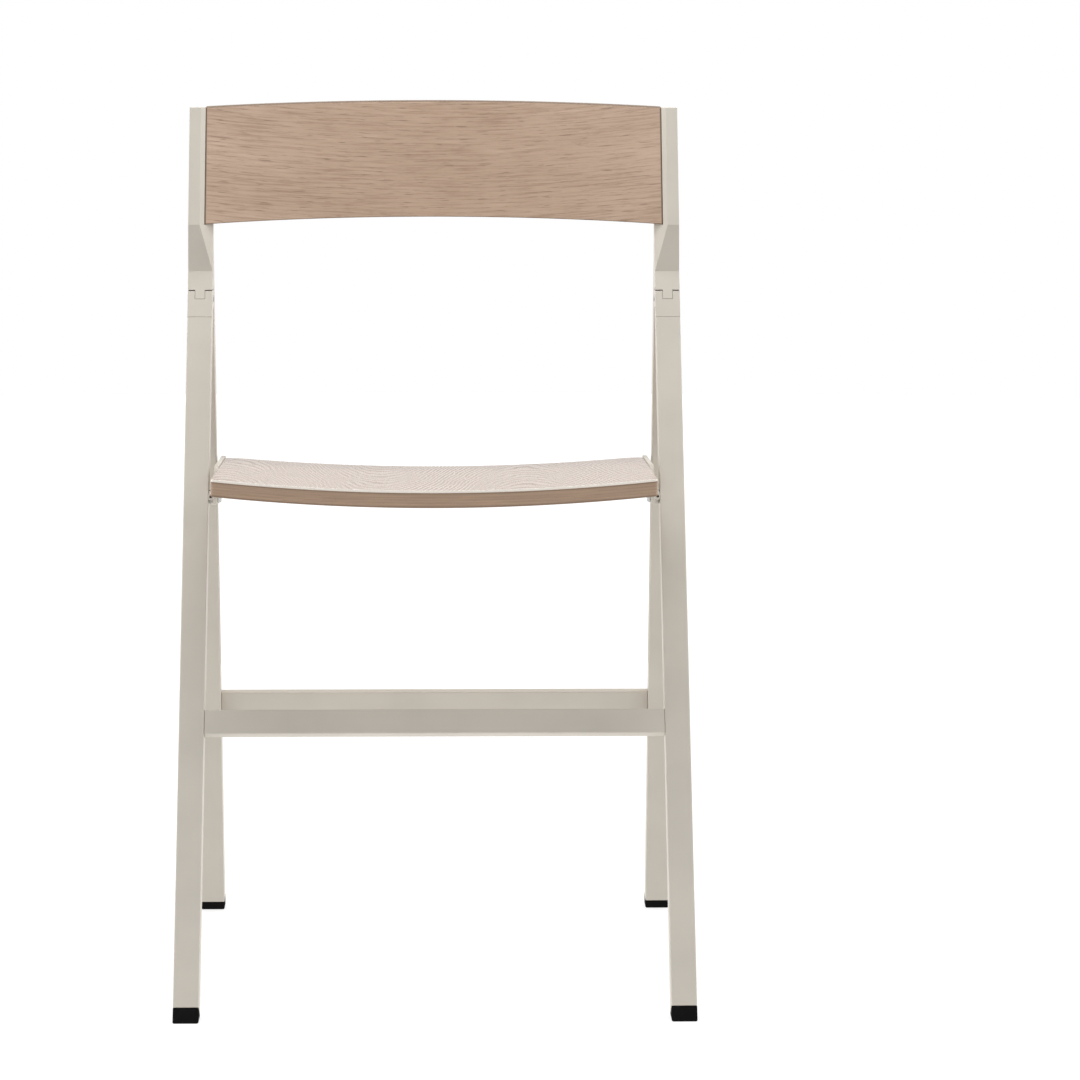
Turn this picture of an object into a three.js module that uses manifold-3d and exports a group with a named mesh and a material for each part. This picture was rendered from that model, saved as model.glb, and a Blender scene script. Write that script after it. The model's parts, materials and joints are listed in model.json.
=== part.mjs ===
// A folding chair with a bent ply back and a dished ply seat, shown open.
// Two pairs of legs meet in knuckle joints under the back and fold flat against each other.
// The seat turns on the front legs, and its rear pins run in grooves in the rear legs.
// Millimetres, +Z up. The front faces -Y, and the origin is on the floor under the middle.

import * as THREE from 'three';
import { mergeVertices } from 'three/addons/utils/BufferGeometryUtils.js';
import Module from 'manifold-3d';

const wasm = await Module();
wasm.setup();

// Clearances
const FIT = 0.3; // gap between pieces that meet
const OVERRUN = 6; // how far a cut runs past what it cuts

// Facets of round forms
const PIN_SIDES = 24;
const HOLE_SIDES = 16;
const ARC_STEP = 13; // most degrees that one side of an arc turns

// Stance, with the leans in degrees from upright
const FRAME_WIDTH = 465;
const HINGE_HEIGHT = 617;
const FRONT_LEAN = 29;
const REAR_LEAN = 11.5;

// Legs, extruded tubes
const LEG_WIDTH = 23;
const LEG_DEPTH = 22.5;
const LEG_WALL = 2;
const LEG_EDGE = 1.2; // outer corner radius
const HINGE_SETBACK = 1; // from the hinge axis to each of the two leg faces that fold together

// Knuckle joint between the two pairs of legs
const KNUCKLE_RADIUS = 8.7;
const KNUCKLE_RUN = 0.5; // running gap round the knuckle
const BUTT_GAP = 0.9; // the open line across the front of the joint
const TONGUE_WIDTH = 9.1;
const TONGUE_DROP = 8; // how far the tongue's front reaches below the butt line
const TONGUE_RADIUS = 8.3;
const HINGE_PIN_RADIUS = 3;
const HINGE_PIN_PROUD = 0.8; // of the leg's inner face
const BUSH_WALL = 1;
const JOINT_SEAM = 29.8; // from the hinge down each leg to the end of its tube
const SPIGOT_LENGTH = 28;

// Uprights above the joint
const BLOCK_HEIGHT = 26.7; // from the hinge up to the bend
const TAPER_HEIGHT = 43.7;
const TAPER_LEAN = 5.8;
const UPRIGHT_HEIGHT = 109.2;
const UPRIGHT_LEAN = 22.3;
const UPRIGHT_DEPTH = 22.5;
const UPRIGHT_FACE = 10.8; // width of its narrow front face
const PANEL_REVEAL = 4.2; // strip of the slanted facet beside the back panel
const TAB_REACH = 24; // how far the fixing tab runs in behind the panel
const TAB_THICKNESS = 4;
const TAB_MARGIN = 12; // from the panel's edges to the tab's
const TAB_STEPS = 8;

// Back panel, bent ply
const PANEL_THICKNESS = 10;
const PANEL_SAG = 47; // how far its middle lies behind its ends
const PANEL_RISE = 6; // degrees by which its long edges climb towards the middle
const PANEL_STEPS = 36;
const PANEL_SCREW_SPREAD = 52; // between the two screws of a tab

// Crossbars, extruded tubes
const BAR_HEIGHT = 23.4;
const BAR_DEPTH = 10;
const BAR_WALL = 1.6;
const BAR_EDGE = 1.2;
const BAR_SETBACK = 0.5; // behind the outer face of the legs
const FRONT_BAR_DROP = 423; // from the hinge down the front legs to its top
const REAR_BAR_DROP = 404.3;

// Rubber feet, each cut level with the floor
const FRONT_FOOT_SHORT = 2.4; // height of its shorter side
const REAR_FOOT_SHORT = 8;
const FOOT_CHAMFER = 1.2;
const PLUG_LENGTH = 14;

// Seat, dished ply, placed from its pivots on the front legs
const SEAT_DROP = 209; // from the hinge down the front legs to the pivots
const SEAT_SLOPE = 2.1; // degrees down to the rear
const SEAT_SIDE_GAP = 8.5; // between the seat and the legs
const SEAT_THICKNESS = 15.5;
const SEAT_RISE = 26; // from the pivots up to the top of its side edges
const SEAT_AHEAD = 139; // front edge ahead of the pivots
const SEAT_BEHIND = 184; // rear edge behind them
const SEAT_DISH = 10.5;
const SEAT_STEPS = 32;
const REAR_BOW = 12; // how far the rear edge swells in its middle
const REAR_STEPS = 16;
const REAR_CORNER = 25;
const FRONT_CORNER = 3;

// Seat brackets, a plate along each side with a rail ahead of the pivot and a flange under the seat
const BRACKET_THICKNESS = 4;
const BRACKET_ABOVE = 1.5; // its top edge above the seat's side edge
const BRACKET_BELOW = 7; // its lower edge below the pivot
const BRACKET_AHEAD = 14; // past the pivot
const BRACKET_TOP_START = 22; // behind the pivot, where its slanting front meets its top
const BRACKET_BEHIND = 12; // past the slider pin
const BRACKET_CORNER = 6;
const RAIL_HEIGHT = 6.5;
const RAIL_EDGE = 1.2;
const RAIL_AHEAD = 92; // its front end ahead of the pivot
const RAIL_HOLE_RADIUS = 1.3; // tapped hole in its front end
const RAIL_HOLE_DEPTH = 8;
const FLANGE_WIDTH = 11;
const FLANGE_THICKNESS = 2.5;
const FLANGE_AHEAD = 90; // its front end ahead of the pivot
const FLANGE_BEHIND = 150;
const SEAT_SCREW_PLACES = [-80, 28, 136]; // along the flange from the pivot

// Seat pivot and slider
const PIVOT_RADIUS = 3;
const PIVOT_HEAD_RADIUS = 5.4;
const PIVOT_HEAD_HEIGHT = 3;
const PIVOT_REACH = 8; // thread inside the leg
const INSERT_WALL = 1.6;
const INSERT_FLANGE_RADIUS = 6.6;
const INSERT_FLANGE_THICKNESS = 0.8;
const SPACER_RADIUS = 7;
const SLIDER_PIN_RISE = 18; // above the seat pivot, square to the seat
const SLIDER_PIN_RADIUS = 3;
const SLIDER_COLLAR_RADIUS = 5;
const SLIDER_COLLAR_THICKNESS = 1.4;

// Groove in the rear leg and the glide that runs in it
const GROOVE_WIDTH = 7;
const GLIDE_LENGTH = 16;
const GLIDE_RUN = 1.5; // free groove past the glide at each limit
const GLIDE_HEAD_WIDTH = 12;
const GLIDE_HEAD_LENGTH = 20;
const GLIDE_HEAD_THICKNESS = 4;

// Small pan-head screws
const SCREW_RADIUS = 1.8;
const SCREW_HEAD_RADIUS = 3.8;
const SCREW_HEAD_HEIGHT = 2.2;
const CROWN_STEPS = 4; // of the head's rounded rim
const SCREW_BITE = 7; // length in the wood

// Finishes
const powderCoat = new THREE.MeshStandardMaterial({ color: '#d9d3c8', roughness: 0.55, metalness: 0 });
const paleOak = new THREE.MeshStandardMaterial({ color: '#cdb69e', roughness: 0.6, metalness: 0 });
const blackRubber = new THREE.MeshStandardMaterial({ color: '#1d1c1b', roughness: 0.8, metalness: 0 });
const steel = new THREE.MeshStandardMaterial({ color: '#b5b4b0', roughness: 0.35, metalness: 1 });
const nylon = new THREE.MeshStandardMaterial({ color: '#d0ccc4', roughness: 0.5, metalness: 0 });

const { degToRad } = THREE.MathUtils;
const frontAngle = degToRad(FRONT_LEAN);
const rearAngle = degToRad(REAR_LEAN);
const foldAngle = frontAngle + rearAngle;
const halfWidth = FRAME_WIDTH / 2;
const innerX = halfWidth - LEG_WIDTH;
const middleX = halfWidth - LEG_WIDTH / 2;
const farFace = HINGE_SETBACK + LEG_DEPTH; // a leg's outer face, from the hinge
const seatHalf = innerX - SEAT_SIDE_GAP;
const legMiddle = HINGE_SETBACK + LEG_DEPTH / 2;

// Turns a closed geometry into a solid for joining and cutting.
function solid(geometry) {
  const plain = geometry.clone();
  plain.deleteAttribute('normal');
  plain.deleteAttribute('uv');
  const merged = mergeVertices(plain);
  const vertProperties = new Float32Array(merged.attributes.position.array);
  const triVerts = new Uint32Array(merged.index.array);
  return new wasm.Manifold(new wasm.Mesh({ numProp: 3, vertProperties, triVerts }));
}

// Turns a solid back into a geometry.
function shell(body) {
  const mesh = body.getMesh();
  const geometry = new THREE.BufferGeometry();
  geometry.setAttribute('position', new THREE.BufferAttribute(mesh.vertProperties, mesh.numProp));
  geometry.setIndex(new THREE.BufferAttribute(mesh.triVerts, 1));
  geometry.computeVertexNormals();
  return geometry;
}

// How many sides an arc between two angles needs.
function arcSteps(from, to) {
  return Math.ceil(Math.abs(to - from) / degToRad(ARC_STEP));
}

// Points along an arc, with its angles in radians from the first axis.
function arc(centreA, centreB, radius, from, to, steps = arcSteps(from, to)) {
  const points = [];
  for (let i = 0; i <= steps; i += 1) {
    const angle = from + ((to - from) * i) / steps;
    points.push([centreA + radius * Math.cos(angle), centreB + radius * Math.sin(angle)]);
  }
  return points;
}

function outline(points) {
  return new THREE.Shape(points.map(([a, b]) => new THREE.Vector2(a, b)));
}

function extrude(shape, length) {
  return new THREE.ExtrudeGeometry(shape, { depth: length, bevelEnabled: false, curveSegments: 2 });
}

// Extrudes a side view, drawn in (y, z), from x = from to x = to.
function acrossWidth(shape, from, to) {
  const geometry = extrude(shape, to - from);
  const turn = new THREE.Matrix4().makeBasis(
    new THREE.Vector3(0, 1, 0),
    new THREE.Vector3(0, 0, 1),
    new THREE.Vector3(1, 0, 0),
  );
  return geometry.applyMatrix4(turn).translate(from, 0, 0);
}

// Extrudes a front view, drawn in (x, z), from y = from to y = to.
function alongDepth(shape, from, to) {
  return extrude(shape, to - from).rotateX(Math.PI / 2).translate(0, to, 0);
}

// Extrudes a plan, drawn in (x, y), from z = from to z = to.
function upwards(shape, from, to) {
  return extrude(shape, to - from).translate(0, 0, from);
}

function roundedRectangle(width, depth, radius, path = new THREE.Shape()) {
  const x = width / 2 - radius;
  const y = depth / 2 - radius;
  path.absarc(x, y, radius, 0, Math.PI / 2);
  path.absarc(-x, y, radius, Math.PI / 2, Math.PI);
  path.absarc(-x, -y, radius, Math.PI, Math.PI * 1.5);
  path.absarc(x, -y, radius, Math.PI * 1.5, Math.PI * 2);
  path.closePath();
  return path;
}

function tubeSection(width, depth, wall, edge) {
  const section = roundedRectangle(width, depth, edge);
  const bore = roundedRectangle(width - 2 * wall, depth - 2 * wall, edge / 2, new THREE.Path());
  section.holes.push(bore);
  return section;
}

// A cylinder along X, from x = from to x = to, at (y, z).
function pinAlongX(radius, from, to, y, z) {
  const pin = new THREE.CylinderGeometry(radius, radius, to - from, PIN_SIDES);
  return pin.rotateZ(Math.PI / 2).translate((from + to) / 2, y, z);
}

// Turns a profile of [radius, place] pairs about its axis.
function lathe(profile) {
  const points = profile.map(([radius, place]) => new THREE.Vector2(radius, place));
  return new THREE.LatheGeometry(points, PIN_SIDES);
}

// A ring about the X axis between two radii.
function ringAlongX(inner, outer, from, to) {
  const profile = [[inner, from], [outer, from], [outer, to], [inner, to], [inner, from]];
  return lathe(profile).rotateZ(-Math.PI / 2);
}

// A point from the hinge, in the side view, given in a leg's own depth and its distance down it.
function onFrontLeg(depth, drop) {
  return [
    depth * Math.cos(frontAngle) - drop * Math.sin(frontAngle),
    -depth * Math.sin(frontAngle) - drop * Math.cos(frontAngle),
  ];
}

function onRearLeg(depth, drop) {
  return [
    depth * Math.cos(rearAngle) + drop * Math.sin(rearAngle),
    depth * Math.sin(rearAngle) - drop * Math.cos(rearAngle),
  ];
}

// How far forward the front face of the joint lies at a height above the hinge.
function frontFaceAt(height) {
  return -farFace / Math.cos(frontAngle) + height * Math.tan(frontAngle);
}

// Distance down a leg from the hinge to the floor, at a depth in that leg.
function frontFloor(depth) {
  return (HINGE_HEIGHT - depth * Math.sin(frontAngle)) / Math.cos(frontAngle);
}

function rearFloor(depth) {
  return (HINGE_HEIGHT + depth * Math.sin(rearAngle)) / Math.cos(rearAngle);
}

const frontTubeEnd = frontFloor(-HINGE_SETBACK) - FRONT_FOOT_SHORT;
const rearTubeEnd = rearFloor(HINGE_SETBACK) - REAR_FOOT_SHORT;

// The seat's linkage. The slider pin sits where the seat's line from the pivot meets the groove.
const seatPivot = onFrontLeg(-legMiddle, SEAT_DROP);
const slope = degToRad(SEAT_SLOPE);
const grooveTop = onRearLeg(legMiddle, 0);
const pinStart = [
  seatPivot[0] + SLIDER_PIN_RISE * Math.sin(slope),
  seatPivot[1] + SLIDER_PIN_RISE * Math.cos(slope),
];
const acrossToGroove = (grooveTop[0] - pinStart[0]) * Math.cos(rearAngle);
const aboveGroove = (grooveTop[1] - pinStart[1]) * Math.sin(rearAngle);
const pinBack = (acrossToGroove + aboveGroove) / Math.cos(slope + rearAngle);
const pinY = pinStart[0] + pinBack * Math.cos(slope);
const openDrop = (pinY - grooveTop[0]) / Math.sin(rearAngle);
const linkLength = Math.hypot(pinBack, SLIDER_PIN_RISE);
const foldedDrop = SEAT_DROP + Math.sqrt(linkLength ** 2 - (2 * legMiddle) ** 2);

// One leg tube. Its top is at the joint's seam and it runs down to its foot.
function legTube(end) {
  const length = end - JOINT_SEAM - 2 * FIT;
  const tube = extrude(tubeSection(LEG_WIDTH, LEG_DEPTH, LEG_WALL, LEG_EDGE), length);
  return tube.translate(middleX, 0, -end + FIT);
}

function slot(width, length) {
  const straight = length / 2 - width / 2;
  return outline([
    ...arc(0, straight, width / 2, 0, Math.PI),
    ...arc(0, -straight, width / 2, Math.PI, Math.PI * 2),
  ]);
}

// A rear leg: the same tube, with the groove for the glide through its inner wall.
function rearLeg() {
  const travel = foldedDrop - openDrop;
  const length = travel + GLIDE_LENGTH + 2 * GLIDE_RUN;
  const cut = acrossWidth(slot(GROOVE_WIDTH, length), innerX - OVERRUN, innerX + LEG_WALL + LEG_EDGE);
  cut.translate(0, 0, -(openDrop + foldedDrop) / 2);
  return shell(solid(legTube(rearTubeEnd)).subtract(solid(cut)));
}

// The plug that fills a tube's end, drawn down from z = 0.
function plug(length) {
  const gap = LEG_WALL + FIT;
  const section = roundedRectangle(LEG_WIDTH - 2 * gap, LEG_DEPTH - 2 * gap, LEG_EDGE);
  return upwards(section, -length, OVERRUN / 2).translate(middleX, 0, 0);
}

// The forked cap on a front leg. Its cheeks hold the tongue of the upright.
function frontCap() {
  const seamFront = onFrontLeg(-farFace, JOINT_SEAM);
  const seamRear = onFrontLeg(-HINGE_SETBACK, JOINT_SEAM);
  const tangent = Math.sqrt(KNUCKLE_RADIUS ** 2 - HINGE_SETBACK ** 2);
  const [lowY, lowZ] = onFrontLeg(-HINGE_SETBACK, tangent);
  const start = Math.PI / 2;
  const end = Math.atan2(lowZ, lowY);
  const side = outline([
    [frontFaceAt(KNUCKLE_RADIUS), KNUCKLE_RADIUS],
    seamFront,
    seamRear,
    ...arc(0, 0, KNUCKLE_RADIUS, end, start),
  ]);
  let body = solid(acrossWidth(side, innerX, halfWidth));
  body = body.add(solid(spigot(onFrontLeg(-legMiddle, JOINT_SEAM), -frontAngle)));
  const slotHalf = TONGUE_WIDTH / 2 + FIT;
  const floor = KNUCKLE_RADIUS + BUTT_GAP - TONGUE_DROP - FIT;
  const slotRadius = TONGUE_RADIUS + KNUCKLE_RUN;
  const above = outline([
    [frontFaceAt(0) - OVERRUN, floor],
    [KNUCKLE_RADIUS + OVERRUN, floor],
    [KNUCKLE_RADIUS + OVERRUN, KNUCKLE_RADIUS + OVERRUN],
    [frontFaceAt(0) - OVERRUN, KNUCKLE_RADIUS + OVERRUN],
  ]);
  body = body.subtract(solid(acrossWidth(above, middleX - slotHalf, middleX + slotHalf)));
  const round = pinAlongX(slotRadius, middleX - slotHalf, middleX + slotHalf, 0, 0);
  body = body.subtract(solid(round));
  const bore = pinAlongX(HINGE_PIN_RADIUS + FIT, innerX - OVERRUN, halfWidth + OVERRUN, 0, 0);
  return shell(body.subtract(solid(bore)));
}

// The spigot below a seam, turned to its leg and set at the middle of the seam.
function spigot([y, z], angle) {
  return plug(SPIGOT_LENGTH).rotateX(angle).translate(0, y, z);
}

// Places on the uprights, from the hinge
const bend = [frontFaceAt(BLOCK_HEIGHT), BLOCK_HEIGHT];
const taperTop = [
  bend[0] + TAPER_HEIGHT * Math.tan(degToRad(TAPER_LEAN)),
  BLOCK_HEIGHT + TAPER_HEIGHT,
];
const uprightRun = Math.tan(degToRad(UPRIGHT_LEAN));
const uprightTop = [taperTop[0] + UPRIGHT_HEIGHT * uprightRun, taperTop[1] + UPRIGHT_HEIGHT];
const planDepth = UPRIGHT_DEPTH / Math.cos(degToRad(UPRIGHT_LEAN));
const faceX = halfWidth - UPRIGHT_FACE;
const facetSlope = (taperTop[0] - bend[0] - TAPER_HEIGHT * uprightRun) / (innerX - faceX);

// The back panel in plan, at the height of the taper's top
const panelEnd = faceX - PANEL_REVEAL;
const panelEndY = taperTop[0] + PANEL_REVEAL * facetSlope;
const panelRadius = (panelEnd ** 2 + PANEL_SAG ** 2) / (2 * PANEL_SAG);
const panelCentre = panelEndY + PANEL_SAG - panelRadius;
const panelRear = panelRadius + PANEL_THICKNESS;

// Leans a plan upwards as the back does, its edges climbing towards the middle.
function leanBack(geometry, rise) {
  const climb = Math.tan(degToRad(rise));
  const lean = new THREE.Matrix4().set(
    1, 0, 0, 0,
    0, 1, uprightRun, 0,
    0, climb, 1, -climb * panelEndY,
    0, 0, 0, 1,
  );
  return geometry.applyMatrix4(lean).translate(0, 0, taperTop[1]);
}

// A band in plan between two radii of the back, from x = fromX to x = toX.
function band(inner, outer, fromX, toX) {
  const near = (radius, x) => Math.acos(x / radius);
  return outline([
    ...arc(0, panelCentre, outer, near(outer, toX), near(outer, fromX), TAB_STEPS),
    ...arc(0, panelCentre, inner, near(inner, fromX), near(inner, toX), TAB_STEPS),
  ]);
}

// The frame of one tab screw: its axis points back, square to the panel's rear.
function panelScrewPlace(level) {
  const angle = Math.acos((innerX - TAB_REACH / 2) / panelRear);
  const seat = panelRear + FIT + TAB_THICKNESS;
  const back = new THREE.Vector3(Math.cos(angle), Math.sin(angle), -Math.sin(angle) * uprightRun);
  const turn = new THREE.Quaternion().setFromUnitVectors(new THREE.Vector3(0, 0, 1), back.normalize());
  const height = UPRIGHT_HEIGHT / 2 + (level * PANEL_SCREW_SPREAD) / 2;
  const place = new THREE.Vector3(
    seat * Math.cos(angle),
    panelCentre + seat * Math.sin(angle) + height * uprightRun,
    taperTop[1] + height,
  );
  return new THREE.Matrix4().compose(place, turn, new THREE.Vector3(1, 1, 1));
}

// A pan-head screw whose head rises from z = 0 and whose shank runs down from it.
function screw(length) {
  const crown = arc(0, FIT, SCREW_HEAD_HEIGHT, 0, Math.PI / 2, CROWN_STEPS).map(([reach, height]) => [
    SCREW_HEAD_RADIUS - SCREW_HEAD_HEIGHT + reach,
    height,
  ]);
  const shank = [[0, -length], [SCREW_RADIUS, -length], [SCREW_RADIUS, FIT]];
  const top = [0, FIT + SCREW_HEAD_HEIGHT];
  return lathe([...shank, ...crown, top]).rotateX(Math.PI / 2);
}

function screwHole(length) {
  const radius = SCREW_RADIUS + FIT;
  const hole = new THREE.CylinderGeometry(radius, radius, length + FIT + OVERRUN, HOLE_SIDES);
  return hole.rotateX(Math.PI / 2).translate(0, 0, (OVERRUN - length - FIT) / 2);
}

// An upright: the upper half of the joint, its tongue, the taper and the narrow post of the back.
function upright() {
  const butt = KNUCKLE_RADIUS + BUTT_GAP;
  const tongue = butt - TONGUE_DROP;
  const tongueBack = -Math.sqrt(TONGUE_RADIUS ** 2 - tongue ** 2);
  const lowest = Math.sqrt(TONGUE_RADIUS ** 2 - HINGE_SETBACK ** 2);
  const [lowY, lowZ] = onRearLeg(HINGE_SETBACK, lowest);
  const rearTop = uprightTop[0] + planDepth;
  const rearFaceY = farFace / Math.cos(rearAngle);
  const rearRun = Math.tan(rearAngle);
  const kink = (rearFaceY - rearTop + uprightTop[1] * uprightRun) / (rearRun + uprightRun);
  const from = Math.atan2(tongue, tongueBack);
  const to = Math.atan2(lowZ, lowY) + Math.PI * 2;
  const side = outline([
    [frontFaceAt(tongue), tongue],
    ...arc(0, 0, TONGUE_RADIUS, from, to),
    onRearLeg(HINGE_SETBACK, JOINT_SEAM),
    onRearLeg(farFace, JOINT_SEAM),
    [rearFaceY - kink * rearRun, kink],
    [rearTop, uprightTop[1]],
    uprightTop,
    taperTop,
    bend,
  ]);
  let body = solid(acrossWidth(side, innerX, halfWidth));
  body = body.subtract(solid(facetCut()));
  body = body.add(solid(fixingTab()));
  body = body.subtract(solid(panelPocket()));
  body = cheekCuts(body, butt);
  body = body.add(solid(spigot(onRearLeg(legMiddle, JOINT_SEAM), rearAngle)));
  const boreRadius = HINGE_PIN_RADIUS + BUSH_WALL + 2 * FIT;
  body = body.subtract(solid(pinAlongX(boreRadius, innerX, halfWidth, 0, 0)));
  for (const level of [-1, 1]) {
    const hole = screwHole(TAB_THICKNESS + FIT + SCREW_BITE);
    body = body.subtract(solid(hole.applyMatrix4(panelScrewPlace(level))));
  }
  return shell(body);
}

// Takes the slanted facet off the inner front corner, from the bend to the top.
function facetCut() {
  const deepX = innerX - OVERRUN;
  const plan = outline([
    [faceX, taperTop[0]],
    [deepX, taperTop[0] + (faceX - deepX) * facetSlope],
    [deepX, taperTop[0] - planDepth],
    [faceX, taperTop[0] - planDepth],
  ]);
  const cut = upwards(plan, -TAPER_HEIGHT, UPRIGHT_HEIGHT + OVERRUN);
  return leanBack(cut, 0);
}

// The tab that runs in behind the panel and takes its screws.
function fixingTab() {
  const inner = panelRear + FIT;
  const plan = band(inner, inner + TAB_THICKNESS, innerX - TAB_REACH, faceX);
  return leanBack(upwards(plan, TAB_MARGIN, UPRIGHT_HEIGHT - TAB_MARGIN), 0);
}

// The rebate that takes the panel's end.
function panelPocket() {
  const end = panelEnd + FIT;
  const deepX = innerX - TAB_REACH - OVERRUN;
  const rear = panelRear + FIT;
  const near = (x) => Math.acos(x / rear);
  const plan = outline([
    ...arc(0, panelCentre, rear, near(end), near(deepX), TAB_STEPS),
    [deepX, panelEndY],
    [end, panelEndY],
  ]);
  return leanBack(upwards(plan, -FIT, UPRIGHT_HEIGHT + OVERRUN), PANEL_RISE);
}

// Clears both sides of the tongue for the cheeks of the cap and for their swing.
function cheekCuts(body, butt) {
  const radius = KNUCKLE_RADIUS + KNUCKLE_RUN;
  const reach = JOINT_SEAM + OVERRUN;
  const side = outline([
    [frontFaceAt(0) - reach, -reach],
    [0, -reach],
    ...arc(0, 0, radius, -Math.PI / 2, Math.PI / 2),
    [0, butt],
    [frontFaceAt(0) - reach, butt],
  ]);
  const tongueHalf = TONGUE_WIDTH / 2;
  const inner = acrossWidth(side, innerX - OVERRUN, middleX - tongueHalf);
  const outer = acrossWidth(side, middleX + tongueHalf, halfWidth + OVERRUN);
  return body.subtract(solid(inner)).subtract(solid(outer));
}

function hingePin() {
  return pinAlongX(HINGE_PIN_RADIUS, innerX - HINGE_PIN_PROUD, halfWidth - FIT, 0, 0);
}

function hingeBush() {
  const bore = HINGE_PIN_RADIUS + FIT;
  const half = TONGUE_WIDTH / 2;
  return ringAlongX(bore, bore + BUSH_WALL, middleX - half, middleX + half);
}

// The bent panel of the back.
function backPanel() {
  const plan = outline([
    ...panelArc(panelRear, 1),
    ...panelArc(panelRadius, -1),
  ]);
  let body = solid(leanBack(upwards(plan, 0, UPRIGHT_HEIGHT), PANEL_RISE));
  for (const side of [-1, 1]) {
    for (const level of [-1, 1]) {
      const hole = screwHole(TAB_THICKNESS + FIT + SCREW_BITE);
      hole.applyMatrix4(panelScrewPlace(level));
      const cut = solid(hole);
      body = body.subtract(side < 0 ? cut.mirror([1, 0, 0]) : cut);
    }
  }
  return shell(body);
}

// The panel's arc from one end to the other, both ends cut on the same plane.
function panelArc(radius, direction) {
  const reach = Math.asin(panelEnd / radius);
  const middle = Math.PI / 2;
  return arc(0, panelCentre, radius, middle - direction * reach, middle + direction * reach, PANEL_STEPS);
}

// A crossbar between two legs, its section drawn with its middle at (y, z).
function crossbar(y, z) {
  const section = tubeSection(BAR_DEPTH, BAR_HEIGHT, BAR_WALL, BAR_EDGE);
  return acrossWidth(section, -innerX + FIT, innerX - FIT).translate(0, y, z);
}

// A rubber foot: a block cut level below the tube's end, with a plug up into the tube.
function foot(place, end, floor, depths, angle) {
  const [nearDepth, farDepth] = depths;
  const level = -HINGE_HEIGHT;
  const [frontTopY, frontTopZ] = place(nearDepth, end);
  const [rearTopY, rearTopZ] = place(farDepth, end);
  const [frontY] = place(nearDepth, floor(nearDepth));
  const [rearY] = place(farDepth, floor(farDepth));
  const block = acrossWidth(outline([
    [frontTopY, frontTopZ],
    [frontY, level + FOOT_CHAMFER / 2],
    [frontY + FOOT_CHAMFER, level],
    [rearY - FOOT_CHAMFER, level],
    [rearY, level + FOOT_CHAMFER / 2],
    [rearTopY, rearTopZ],
  ]), innerX, halfWidth);
  const top = Math.max(frontTopZ, rearTopZ) + OVERRUN;
  const ends = alongDepth(outline([
    [innerX, level + FOOT_CHAMFER],
    [innerX + FOOT_CHAMFER, level],
    [halfWidth - FOOT_CHAMFER, level],
    [halfWidth, level + FOOT_CHAMFER],
    [halfWidth, top],
    [innerX, top],
  ]), frontY - HINGE_HEIGHT, rearY + HINGE_HEIGHT);
  const [plugY, plugZ] = place((nearDepth + farDepth) / 2, end);
  const stem = plug(PLUG_LENGTH).rotateX(Math.PI).rotateX(angle).translate(0, plugY, plugZ);
  return shell(solid(block).intersect(solid(ends)).add(solid(stem)));
}

// The seat's dish in front view: its top surface at x, above the pivots.
const dishRadius = (seatHalf ** 2 + SEAT_DISH ** 2) / (2 * SEAT_DISH);

function seatTopAt(x) {
  return SEAT_RISE - SEAT_DISH + dishRadius - Math.sqrt(dishRadius ** 2 - x ** 2);
}

function seatPanel() {
  const top = [];
  const bottom = [];
  for (let i = 0; i <= SEAT_STEPS; i += 1) {
    const x = seatHalf * ((2 * i) / SEAT_STEPS - 1);
    top.unshift([x, seatTopAt(x)]);
    bottom.push([x, seatTopAt(x) - SEAT_THICKNESS]);
  }
  const sheet = alongDepth(outline([...bottom, ...top]), -SEAT_AHEAD - OVERRUN, SEAT_BEHIND + OVERRUN);
  const plan = upwards(seatPlan(seatHalf), -SEAT_RISE, SEAT_RISE + OVERRUN);
  let body = solid(sheet).intersect(solid(plan));
  for (const y of SEAT_SCREW_PLACES) {
    const cut = solid(screwHole(FLANGE_THICKNESS + FIT + SCREW_BITE).applyMatrix4(seatScrewPlace(y)));
    body = body.subtract(cut).subtract(cut.mirror([1, 0, 0]));
  }
  return shell(body);
}

// The seat's plan: a square front with small corners, and a bowed rear with round ones.
function seatPlan(half) {
  const side = SEAT_BEHIND - REAR_BOW;
  const bowRadius = ((half - REAR_CORNER) ** 2 + REAR_BOW ** 2) / (2 * REAR_BOW);
  const bowReach = Math.asin((half - REAR_CORNER) / bowRadius);
  const quarter = Math.PI / 2;
  return outline([
    ...arc(-half + FRONT_CORNER, -SEAT_AHEAD + FRONT_CORNER, FRONT_CORNER, Math.PI, Math.PI * 1.5),
    ...arc(half - FRONT_CORNER, -SEAT_AHEAD + FRONT_CORNER, FRONT_CORNER, -quarter, 0),
    ...arc(half - REAR_CORNER, side - REAR_CORNER, REAR_CORNER, 0, quarter - bowReach),
    ...arc(0, SEAT_BEHIND - bowRadius, bowRadius, quarter - bowReach, quarter + bowReach, REAR_STEPS).slice(1, -1),
    ...arc(-half + REAR_CORNER, side - REAR_CORNER, REAR_CORNER, quarter + bowReach, Math.PI),
  ]);
}

// The bracket's places, seen from the front and measured from the pivots
const plateInner = seatHalf + FIT;
const plateOuter = plateInner + BRACKET_THICKNESS;
const flangeEnd = plateInner - FLANGE_WIDTH;
const flangeTopOut = seatTopAt(seatHalf) - SEAT_THICKNESS - FIT;
const flangeTopIn = seatTopAt(flangeEnd) - SEAT_THICKNESS - FIT;

// The frame of one seat screw: its axis points down, square to the flange.
function seatScrewPlace(y) {
  const x = (plateInner + flangeEnd) / 2;
  const z = (flangeTopOut + flangeTopIn) / 2 - FLANGE_THICKNESS;
  const fall = Math.atan2(flangeTopOut - flangeTopIn, FLANGE_WIDTH);
  const turn = new THREE.Quaternion().setFromEuler(new THREE.Euler(0, Math.PI - fall, 0));
  return new THREE.Matrix4().compose(new THREE.Vector3(x, y, z), turn, new THREE.Vector3(1, 1, 1));
}

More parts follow.
